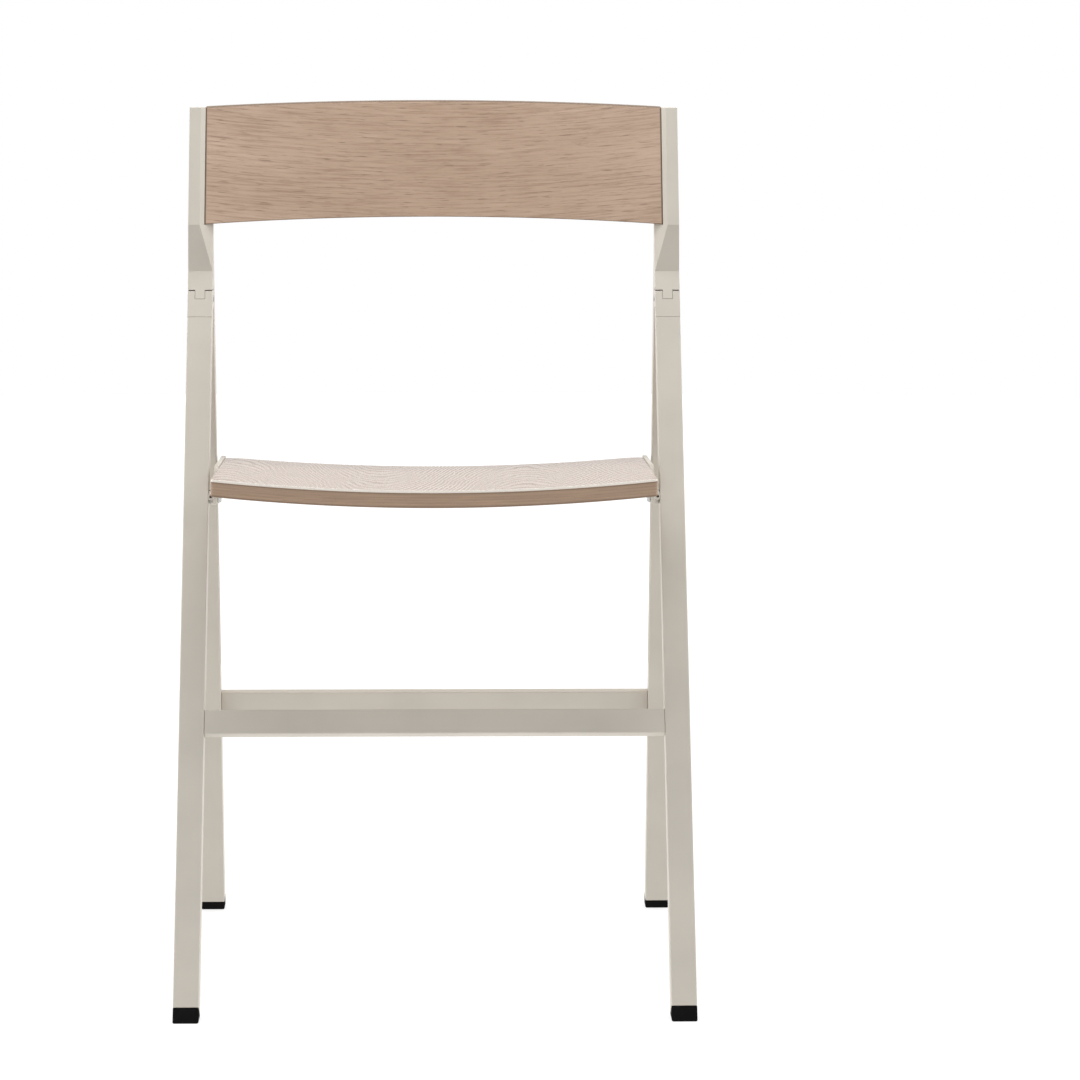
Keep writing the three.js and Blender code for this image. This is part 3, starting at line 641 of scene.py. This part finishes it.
def cut_edge(name, colour, skin_of, thickness, settings):
    """The cut edge of the ply: faint layers under a top band in the skin's colour, darker along a line below that
    band and along the bottom.
    """
    streak_share, cross_share = 0.7, 0.3
    pit_share, glue_share, under_share, lowest_share = 0.35, 0.3, 0.65, 0.6
    recipe = Recipe(name)
    along, across, through = grain_axes(recipe)
    skin = skin_of(recipe, along)
    layer = (through / (2.0 * settings.ply)).fraction()
    cross = layer.between(0.46, 0.5) * (1.0 - layer.between(0.96, 1.0))
    off_glue = (layer - 0.5).magnitude()
    glue = off_glue.between(0.44, 0.5) + (1.0 - off_glue.between(0.0, 0.06))
    ends = recipe.joined(along, across, through)
    streak = recipe.drawn_noise(ends, EDGE_STREAKS, detail=3.0, roughness=0.6)
    vessels = recipe.drawn_noise(ends, EDGE_VESSELS, detail=1.0)
    tone = streak.between(*MIDDLE) * streak_share + cross * cross_share
    plies = recipe.mix(tone, dimmed(colour, 1.1), dimmed(colour, 0.8))
    pits = vessels.between(0.6, 0.72) * pit_share + glue * glue_share
    # The top band takes the skin's colour: at the seat's front, a painted highlight.
    upper = through.between(thickness - 2.1 * MILLIMETRE, thickness - 1.8 * MILLIMETRE)
    under = through.between(thickness - 3.3 * MILLIMETRE, thickness - 3.0 * MILLIMETRE)
    lowest = 1.0 - through.between(1.2 * MILLIMETRE, 1.5 * MILLIMETRE)
    dark = pits + under * under_share + lowest * lowest_share
    return recipe.surface({
        "Base Color": recipe.mix(upper, recipe.mix(dark, plies, settings.pore), skin),
        "Roughness": 0.55 + streak * 0.12 - upper * 0.35,
        "Specular IOR Level": 0.5,
        "Normal": recipe.bump(1.0 - pits, 0.08 * MILLIMETRE, 0.6),
    })


def back_edge_and_painted_shade(settings, thickness):
    """The edge of the back: the cut ply's brown, darkened with painted shade."""

    def skin(recipe, along):
        return settings.back_edge_and_painted_shade

    return cut_edge("back_edge_and_painted_shade", settings.back_edge_and_painted_shade, skin, thickness, settings)


def seat_edge(settings, thickness, front):
    """The edge of the seat, under its rounded veneer, with a painted highlight on its top band in front."""

    def skin(recipe, along):
        # Painted highlight in front, fading over 10 mm into the side arris colour.
        behind = along.between(front + 2.0 * MILLIMETRE, front + 12.0 * MILLIMETRE)
        return recipe.mix(behind, settings.seat_arris, settings.side_arris)

    return cut_edge("seat_edge", settings.seat_edge, skin, thickness, settings)


def black_rubber(settings):
    """Moulded rubber with a dull, slightly dusty skin."""
    black, dusty, dust_share = (0.003, 0.0025, 0.0025), (0.011, 0.01, 0.01), 0.5
    recipe = Recipe("black_rubber")
    place = place_in_object(recipe)
    skin = recipe.noise(place, 1500.0)
    dust = recipe.noise(place, 60.0, detail=4.0, roughness=0.6)
    return recipe.surface({
        "Base Color": recipe.mix(dust.between(0.45, 0.8) * dust_share, black, dusty),
        "Roughness": 0.7 + dust * 0.2,
        "Specular IOR Level": 0.13,
        "Normal": recipe.bump(skin, 0.05 * MILLIMETRE, 0.5),
    })


def joint_gap_shadow(settings):
    """The level faces inside the knuckle joints, painted near-black as shadow: they stand for the shade in the
    joint's gap.
    """
    # Painted shadow: two near-black tones, mottled by noise, stand for the shade inside the joint.
    shadow_deep, shadow_soft = (0.035, 0.03, 0.026), (0.075, 0.068, 0.06)
    recipe = Recipe("joint_gap_shadow")
    place = place_in_object(recipe)
    marks = recipe.drawn_noise(place, JOINT_MARKS)
    shadow_mottle = recipe.noise(place, 250.0, detail=3.0)
    return recipe.surface({
        "Base Color": recipe.mix(shadow_mottle.between(*MIDDLE), shadow_deep, shadow_soft),
        "Metallic": 0.4,
        "Roughness": 0.4 + shadow_mottle * 0.25,
        "Normal": recipe.bump(marks, 0.01 * MILLIMETRE, 0.5),
    })


def zinc_steel(settings):
    """Zinc-plated steel with fine turning marks."""
    bright, dull = (0.60, 0.60, 0.585), (0.47, 0.47, 0.46)
    recipe = Recipe("zinc_steel")
    place = place_in_object(recipe)
    marks = recipe.drawn_noise(place, TURNING_MARKS)
    bloom = recipe.noise(place, 120.0, detail=3.0)
    return recipe.surface({
        "Base Color": recipe.mix(bloom.between(*MIDDLE), bright, dull),
        "Metallic": 1.0,
        "Roughness": 0.28 + bloom * 0.2,
        "Normal": recipe.bump(marks, 0.01 * MILLIMETRE, 0.5),
    })


def natural_nylon(settings):
    """Milky moulded nylon, scuffed where it runs."""
    milky, scuffed = (0.66, 0.64, 0.58), (0.52, 0.50, 0.45)
    recipe = Recipe("natural_nylon")
    scuff = recipe.drawn_noise(place_in_object(recipe), SCUFFS, detail=3.0)
    return recipe.surface({
        "Base Color": recipe.mix(scuff.between(0.5, 0.75), milky, scuffed),
        "Roughness": 0.38 + scuff * 0.2,
        "Normal": recipe.bump(scuff, 0.02 * MILLIMETRE, 0.5),
    })


def floor_paint(stage):
    """Pale, plain studio floor that glows more the further it lies from the chair."""
    near_glow, far_glow, bright_radius = 1.06, 1.3, 0.5
    recipe = Recipe("floor_paint")
    place = place_in_object(recipe)
    cloud = recipe.noise(place, 1.5)
    distance = recipe.node("ShaderNodeVectorMath", {"operation": "LENGTH"}, {0: place}, "Value")
    edge = distance.between(bright_radius, stage.floor_radius)
    near, far = ((stage.floor_glow * share,) * 3 for share in (near_glow, far_glow))
    return recipe.surface({
        "Base Color": recipe.mix(cloud, stage.floor_colour, dimmed(stage.floor_colour, 0.99)),
        "Roughness": 0.9,
        "Specular IOR Level": 0.1,
        "Emission Color": recipe.mix(edge, near, far),
        "Emission Strength": 1.0,
    })


def made_once(make):
    """The material that a function makes, made at its first use."""
    made = bpy.data.materials.get(make.__name__)
    return made or make(bpy.context.scene.chair_frame)


def finish_of(slot):
    """The finish for a slot of the record."""
    return made_once({
        "powder_coat": warm_white_coat,
        "rubber": black_rubber,
        "steel": zinc_steel,
        "nylon": natural_nylon,
    }[slot])


# Mesh building


def pulled_out(shape, parts):
    """Extrudes a face and gives the corners of its new copy."""
    pulled = bmesh.ops.extrude_face_region(shape, geom=parts)
    return [part for part in pulled["geom"] if isinstance(part, bmesh.types.BMVert)]


def new_piece(name, shape, finishes):
    """Turns a bmesh into an object of the scene."""
    mesh = bpy.data.meshes.new(name)
    shape.to_mesh(mesh)
    shape.free()
    piece = bpy.data.objects.new(name, mesh)
    bpy.context.scene.collection.objects.link(piece)
    for finish in finishes:
        mesh.materials.append(finish)
    return piece


def smooth(piece, sharp_turn):
    """Smooth shading, with flat faces kept flat and sharp corners kept sharp."""
    piece.data.shade_smooth()
    piece.data.set_sharp_from_angle(angle=sharp_turn)
    even = piece.modifiers.new("even_normals", "WEIGHTED_NORMAL")
    even.keep_sharp = True


def seat_in_frame(piece, node):
    """Lets a piece stand for a node and ride on its body."""
    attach(piece, BODY_OF[node])
    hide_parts(node)


def bare_joint_faces(piece):
    """Gives the second finish, a painted shadow, to the level faces that meet inside a knuckle joint."""
    for face in piece.data.polygons:
        offset = face.center - HINGE
        if math.hypot(offset.y, offset.z) < JOINT_REACH and abs(face.normal.z) > LEVEL:
            face.material_index = 1


def screw_top(shape):
    """The flat top of a screw's head: of its two ends, the one near most of its corners."""
    middle = sum((vertex.co for vertex in shape.verts), Vector()) / len(shape.verts)
    slack = 0.02 * MILLIMETRE
    fewest_sides = 9

    def is_end(face):
        start, out = face.verts[0].co, face.normal
        outermost = all((vertex.co - start).dot(out) < slack for vertex in shape.verts)
        return outermost and len(face.verts) >= fewest_sides

    def offset(face):
        return (face.calc_center_median() - middle).length

    return min(filter(is_end, shape.faces), key=offset)


def sink_socket(shape, across, depth):
    """Sinks a hexagonal socket in the head of a screw; across is from flat to flat."""
    floor = screw_top(shape)
    centre, axis = floor.calc_center_median(), floor.normal.copy()
    side = axis.orthogonal().normalized() * across / 2

    def offset(face):
        return (face.calc_center_median() - centre).length

    for i in range(6):
        out = Matrix.Rotation(i * math.pi / 3, 3, axis) @ side
        parts = [floor, *floor.edges, *floor.verts]
        cut = bmesh.ops.bisect_plane(shape, geom=parts, plane_co=centre + out, plane_no=out)
        halves = [part for part in cut["geom"] if isinstance(part, bmesh.types.BMFace)]
        floor = min(halves, key=offset)
    sunk = pulled_out(shape, [floor, *floor.edges, *floor.verts])
    bmesh.ops.translate(shape, verts=sunk, vec=-axis * depth)
    shape.normal_update()


def softened(node, slot, edge, corner=25, inside=(), socket=None):
    """Makes a finer piece from a node: facets joined, a socket sunk and edges rounded.

    An edge is rounded where it turns more than corner, in degrees; inside names the finish
    of the faces inside a joint, a painted shadow.
    """
    shape = bmesh.new()
    shape.from_mesh(frame["nodes"][node].data)
    bmesh.ops.remove_doubles(shape, verts=shape.verts, dist=WELD)
    bmesh.ops.dissolve_limit(
        shape, angle_limit=FLAT_TURN, verts=shape.verts, edges=shape.edges
    )
    if socket:
        sink_socket(shape, *socket)
    turn = math.radians(corner)
    sides = [side for side in shape.edges if side.is_manifold and side.calc_face_angle() > turn]
    bmesh.ops.bevel(shape, geom=sides, offset=edge, segments=EDGE_STEPS, **ROUNDED)
    finishes = [finish_of(slot), *map(made_once, inside)]
    piece = new_piece(f"{node}_finished", shape, finishes)
    if inside:
        bare_joint_faces(piece)
    smooth(piece, SHARP_TURN)
    seat_in_frame(piece, node)


def softened_pair(stem, slot, edge, **details):
    """Makes the finer pieces of a left and a right node."""
    for side in SIDES:
        softened(f"{stem}_{side}", slot, edge, **details)


def cut_into_strips(shape, count, axis):
    """Cuts a sheet across an axis, so that it can bend."""
    places = [vertex.co[axis] for vertex in shape.verts]
    low, high = min(places), max(places)
    normal = Vector((0, 0, 0))
    normal[axis] = 1.0
    for i in range(1, count):
        place = normal * (low + (high - low) * i / count)
        everything = shape.verts[:] + shape.edges[:] + shape.faces[:]
        bmesh.ops.bisect_plane(shape, geom=everything, plane_co=place, plane_no=normal)


def bent_sheet(name, outline, thickness, cuts, bend, along, finishes, radius):
    """Bends a flat sheet, drawn in (x, y) and as thick as z.

    Its grain runs along x or y, as along says. The finishes are that of its two faces and
    that of its rim.
    """
    shape = bmesh.new()
    face = shape.faces.new([shape.verts.new((x, y, 0.0)) for x, y in outline])
    bmesh.ops.translate(shape, verts=pulled_out(shape, [face]), vec=(0, 0, thickness))
    bmesh.ops.recalc_face_normals(shape, faces=shape.faces)
    for axis, count in enumerate(cuts):
        cut_into_strips(shape, count, axis)
    rim = [side for side in shape.edges if side.calc_face_angle() > RIM_TURN]
    bmesh.ops.bevel(shape, geom=rim, offset=radius, segments=RIM_STEPS, **ROUNDED)
    for part in shape.faces:
        part.material_index = 0 if abs(part.normal.z) > FACE_LEVEL else 1
    layer = shape.verts.layers.float_vector.new("grain")
    for vertex in shape.verts:
        x, y, z = vertex.co
        vertex[layer] = (x, y, z) if along == "x" else (y, x, z)
        vertex.co = bend(vertex.co)
    piece = new_piece(name, shape, finishes)
    smooth(piece, SHEET_SHARP_TURN)
    return piece


def arc_points(centre, radius, start, end, steps):
    """Points on an arc, with its angles in radians."""
    x, y = centre
    angles = (start + (end - start) * i / steps for i in range(steps + 1))
    return [(x + radius * math.cos(angle), y + radius * math.sin(angle)) for angle in angles]


def corners_in(node, to_frame):
    """The lowest and highest corners of a node, seen in a turned frame."""
    inverse = to_frame.inverted()
    places = np.array([inverse @ vertex.co for vertex in frame["nodes"][node].data.vertices])
    return Vector(places.min(0)), Vector(places.max(0))


def back_panel(sheets, wood):
    """The bent panel of the back, its grain running from side to side."""
    low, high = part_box("back_panel")
    climb = math.tan(sheets.back_rise)
    swell = sheets.back_sag + sheets.back_thickness
    height = high.z - low.z - climb * swell
    run = (high.y - low.y - swell) / height
    front = (high.x**2 + sheets.back_sag**2) / (2 * sheets.back_sag)
    centre = sheets.back_sag - front

    def bend(flat):
        x, up, depth = flat
        share = depth / sheets.back_thickness
        near = math.sqrt(front**2 - x**2)
        far = math.sqrt((front + sheets.back_thickness) ** 2 - x**2)
        back = centre + near + (far - near) * share
        return Vector((x, low.y + back + run * up, low.z + up + climb * back))

    piece = bent_sheet(
        "back_panel_oak",
        outline=[(low.x, 0.0), (high.x, 0.0), (high.x, height), (low.x, height)],
        thickness=sheets.back_thickness,
        cuts=(sheets.steps, BACK_ROWS),
        bend=bend,
        along="x",
        finishes=(back_face(wood, high.x), back_edge_and_painted_shade(wood, sheets.back_thickness)),
        radius=wood.back_radius,
    )
    piece.data.flip_normals()  # the bend mirrors the sheet
    seat_in_frame(piece, "back_panel")


def seat_outline(low, high, sheets):
    """The seat's plan: square in front, bowed and rounded behind."""
    half, side = high.x, high.y - sheets.rear_bow
    straight = half - sheets.rear_corner
    bow = (straight**2 + sheets.rear_bow**2) / (2 * sheets.rear_bow)
    reach = math.asin(straight / bow)
    quarter = math.pi / 2
    front = sheets.front_corner
    rear = sheets.rear_corner
    start, end = quarter - reach, quarter + reach
    bow_points = arc_points((0.0, high.y - bow), bow, start, end, BOW_STEPS)
    return (
        arc_points(
            (-half + front, low.y + front), front, math.pi, 3 * quarter, FRONT_CORNER_STEPS
        )
        + arc_points((half - front, low.y + front), front, -quarter, 0.0, FRONT_CORNER_STEPS)
        + arc_points((straight, side - rear), rear, 0.0, start, REAR_CORNER_STEPS)
        + bow_points[1:-1]
        + arc_points((-straight, side - rear), rear, end, math.pi, REAR_CORNER_STEPS)
    )


def seat_panel(sheets, wood):
    """The dished seat, its grain running from front to rear."""
    place = Matrix.Translation(SEAT_PIVOT) @ Matrix.Rotation(-sheets.seat_slope, 4, "X")
    low, high = corners_in("seat_panel", place)
    dish = high.z - low.z - sheets.seat_thickness
    radius = (high.x**2 + dish**2) / (2 * dish)

    def bend(flat):
        x, y, up = flat
        return Vector((x, y, low.z + radius - math.sqrt(radius**2 - x**2) + up))

    piece = bent_sheet(
        "seat_panel_oak",
        outline=seat_outline(low, high, sheets),
        thickness=sheets.seat_thickness,
        cuts=(sheets.steps, SEAT_ROWS),
        bend=bend,
        along="y",
        finishes=(seat_face(wood, low.y), seat_edge(wood, sheets.seat_thickness, low.y)),
        radius=wood.seat_radius,
    )
    piece.matrix_world = place
    seat_in_frame(piece, "seat_panel")


# The stage


def overhead_lamp(stage):
    """A wide, soft lamp above the chair, which the camera doesn't see."""
    data = bpy.data.lights.new("overhead_lamp", "AREA")
    data.shape = "RECTANGLE"
    data.size, data.size_y = LAMP_SIZE
    data.energy = stage.overhead
    lamp = bpy.data.objects.new("overhead_lamp", data)
    lamp.location = LAMP_PLACE
    aim = Vector(LAMP_TARGET) - Vector(LAMP_PLACE)
    lamp.rotation_euler = aim.to_track_quat("-Z", "Y").to_euler()
    lamp.visible_camera = False
    bpy.context.scene.collection.objects.link(lamp)


def studio_world(stage):
    """Light from the sides and from behind, and white where the camera looks past the floor."""
    rear_edge, side_edge = (0.3, 0.9), (-0.8, -0.45)  # towards the rear
    rear_top, side_top = (0.35, 0.6), (0.75, 0.95)  # upwards
    white = (1.0, 1.0, 1.0, 1.0)
    recipe = Recipe("studio", "worlds")
    direction = recipe.node("ShaderNodeTexCoord", {}, {}, output="Generated")
    back = recipe.node("ShaderNodeSeparateXYZ", {}, {0: direction}, output=1)
    up = recipe.node("ShaderNodeSeparateXYZ", {}, {0: direction}, output=2)
    rear = back.between(*rear_edge)
    side = back.between(*side_edge) * (1.0 - rear) * (1.0 - up.between(*side_top))
    low = rear * (1.0 - up.between(*rear_top))
    strength = side * stage.side_light + low * stage.rear_light
    lit = recipe.node("ShaderNodeBackground", {}, {"Color": white, "Strength": strength})
    seen = recipe.node("ShaderNodeBackground", {}, {"Color": white, "Strength": 1.0})
    eye = recipe.node("ShaderNodeLightPath", {}, {}, output="Is Camera Ray")
    mixed = recipe.node("ShaderNodeMixShader", {}, {0: eye, 1: lit, 2: seen})
    recipe.node("ShaderNodeOutputWorld", {}, {"Surface": mixed})
    bpy.context.scene.world = recipe.owner


def studio_floor(stage):
    """A wide round floor, lit a little from within like a photographer's light table."""
    shape = bmesh.new()
    radius = stage.floor_radius
    bmesh.ops.create_circle(shape, cap_ends=True, segments=FLOOR_SIDES, radius=radius)
    floor = new_piece("studio_floor", shape, [floor_paint(stage)])


def photo_camera(stage):
    """The camera, in front of the chair and a little above its back."""
    data = bpy.data.cameras.new("photo_camera")
    data.sensor_fit = "HORIZONTAL"
    data.sensor_width = SENSOR_WIDTH
    data.lens = stage.lens
    camera = bpy.data.objects.new("photo_camera", data)
    place = Matrix.Translation((0.0, HINGE.y - stage.camera_distance, stage.camera_height))
    yaw = Matrix.Rotation(-stage.camera_yaw, 4, "Z")
    pitch = Matrix.Rotation(math.pi / 2 - stage.camera_pitch, 4, "X")
    roll = Matrix.Rotation(stage.camera_roll, 4, "Z")
    camera.matrix_world = place @ yaw @ pitch @ roll
    bpy.context.scene.collection.objects.link(camera)
    bpy.context.scene.camera = camera


# Operators


class CHAIR_OT_tubes(bpy.types.Operator):
    """Finish the legs and the crossbars"""

    bl_idname = "chair.tubes"
    bl_label = "Tubes"

    def execute(self, context):
        edge = context.scene.chair_frame.cut_edge
        softened_pair("front_leg", "powder_coat", edge)
        softened_pair("rear_leg", "powder_coat", edge)
        for node in ("front_crossbar", "rear_crossbar"):
            softened(node, "powder_coat", edge)
        return {"FINISHED"}


class CHAIR_OT_joints(bpy.types.Operator):
    """Finish the knuckle joints and the uprights"""

    bl_idname = "chair.joints"
    bl_label = "Joints"

    def execute(self, context):
        edge = context.scene.chair_frame.casting_edge
        # The faces inside each joint get painted shadow.
        softened_pair("upright", "powder_coat", edge, corner=16, inside=(joint_gap_shadow,))
        softened_pair("front_cap", "powder_coat", edge, inside=(joint_gap_shadow,))
        softened_pair("hinge_pin", "steel", edge)
        softened_pair("hinge_bush", "nylon", edge / 2)
        return {"FINISHED"}


class CHAIR_OT_back(bpy.types.Operator):
    """Bend the oak panel of the back"""

    bl_idname = "chair.back"
    bl_label = "Back"

    def execute(self, context):
        back_panel(context.scene.chair_sheets, context.scene.chair_wood)
        return {"FINISHED"}


class CHAIR_OT_seat(bpy.types.Operator):
    """Bend the oak seat and finish its brackets"""

    bl_idname = "chair.seat"
    bl_label = "Seat"

    def execute(self, context):
        seat_panel(context.scene.chair_sheets, context.scene.chair_wood)
        softened_pair("seat_bracket", "powder_coat", context.scene.chair_frame.casting_edge)
        return {"FINISHED"}


class CHAIR_OT_fasteners(bpy.types.Operator):
    """Finish the screws, pins, spacers and inserts"""

    bl_idname = "chair.fasteners"
    bl_label = "Fasteners"

    def execute(self, context):
        edge = context.scene.chair_frame.cut_edge
        panel_screws = ("panel_screw_low", "panel_screw_high")
        seat_screws = ("seat_screw_1", "seat_screw_2", "seat_screw_3")
        for stem in panel_screws + seat_screws:
            softened_pair(stem, "steel", edge / 2, socket=SCREW_SOCKET)
        softened_pair("seat_pivot_screw", "steel", edge, socket=PIVOT_SOCKET)
        for stem in ("slider_pin", "pivot_insert"):
            softened_pair(stem, "steel", edge)
        softened_pair("seat_spacer", "nylon", edge)
        return {"FINISHED"}


class CHAIR_OT_glides(bpy.types.Operator):
    """Finish the glides in the rear legs"""

    bl_idname = "chair.glides"
    bl_label = "Glides"

    def execute(self, context):
        softened_pair("seat_glide", "nylon", context.scene.chair_frame.casting_edge)
        return {"FINISHED"}


class CHAIR_OT_feet(bpy.types.Operator):
    """Finish the rubber feet"""

    bl_idname = "chair.feet"
    bl_label = "Feet"

    def execute(self, context):
        edge = context.scene.chair_frame.casting_edge
        softened_pair("front_foot", "rubber", edge)
        softened_pair("rear_foot", "rubber", edge)
        return {"FINISHED"}


class CHAIR_OT_stage(bpy.types.Operator):
    """Lay the floor and set the lights and the camera"""

    bl_idname = "chair.stage"
    bl_label = "Stage"

    def execute(self, context):
        stage = context.scene.chair_stage
        context.scene.view_settings.view_transform = "Standard"
        studio_floor(stage)
        studio_world(stage)
        overhead_lamp(stage)
        photo_camera(stage)
        return {"FINISHED"}


OPERATORS = (
    CHAIR_OT_stage,
    CHAIR_OT_tubes,
    CHAIR_OT_joints,
    CHAIR_OT_back,
    CHAIR_OT_seat,
    CHAIR_OT_fasteners,
    CHAIR_OT_glides,
    CHAIR_OT_feet,
)


class CHAIR_PT_pieces(bpy.types.Panel):
    """Lists the chair's pieces"""

    bl_idname = "CHAIR_PT_pieces"
    bl_label = "Folding Chair"
    bl_space_type = "VIEW_3D"
    bl_region_type = "UI"
    bl_category = "Chair"

    def draw(self, context):
        for operator in OPERATORS:
            self.layout.operator(operator.bl_idname)
        for group, kind in GROUPS.items():
            box = self.layout.box()
            for name in kind.__annotations__:
                box.prop(getattr(context.scene, group), name)


def register():
    for kind in (*GROUPS.values(), *OPERATORS, CHAIR_PT_pieces):
        bpy.utils.register_class(kind)
    for name, kind in GROUPS.items():
        setattr(bpy.types.Scene, name, PointerProperty(type=kind))


def unregister():
    for name in GROUPS:
        delattr(bpy.types.Scene, name)
    for kind in reversed((*GROUPS.values(), *OPERATORS, CHAIR_PT_pieces)):
        bpy.utils.unregister_class(kind)


def main():
    """Builds the whole chair."""
    register()
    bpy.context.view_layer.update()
    for operator in OPERATORS:
        group, name = operator.bl_idname.split(".")
        getattr(getattr(bpy.ops, group), name)()
    bpy.context.view_layer.update()


if __name__ == "__main__":
    main()
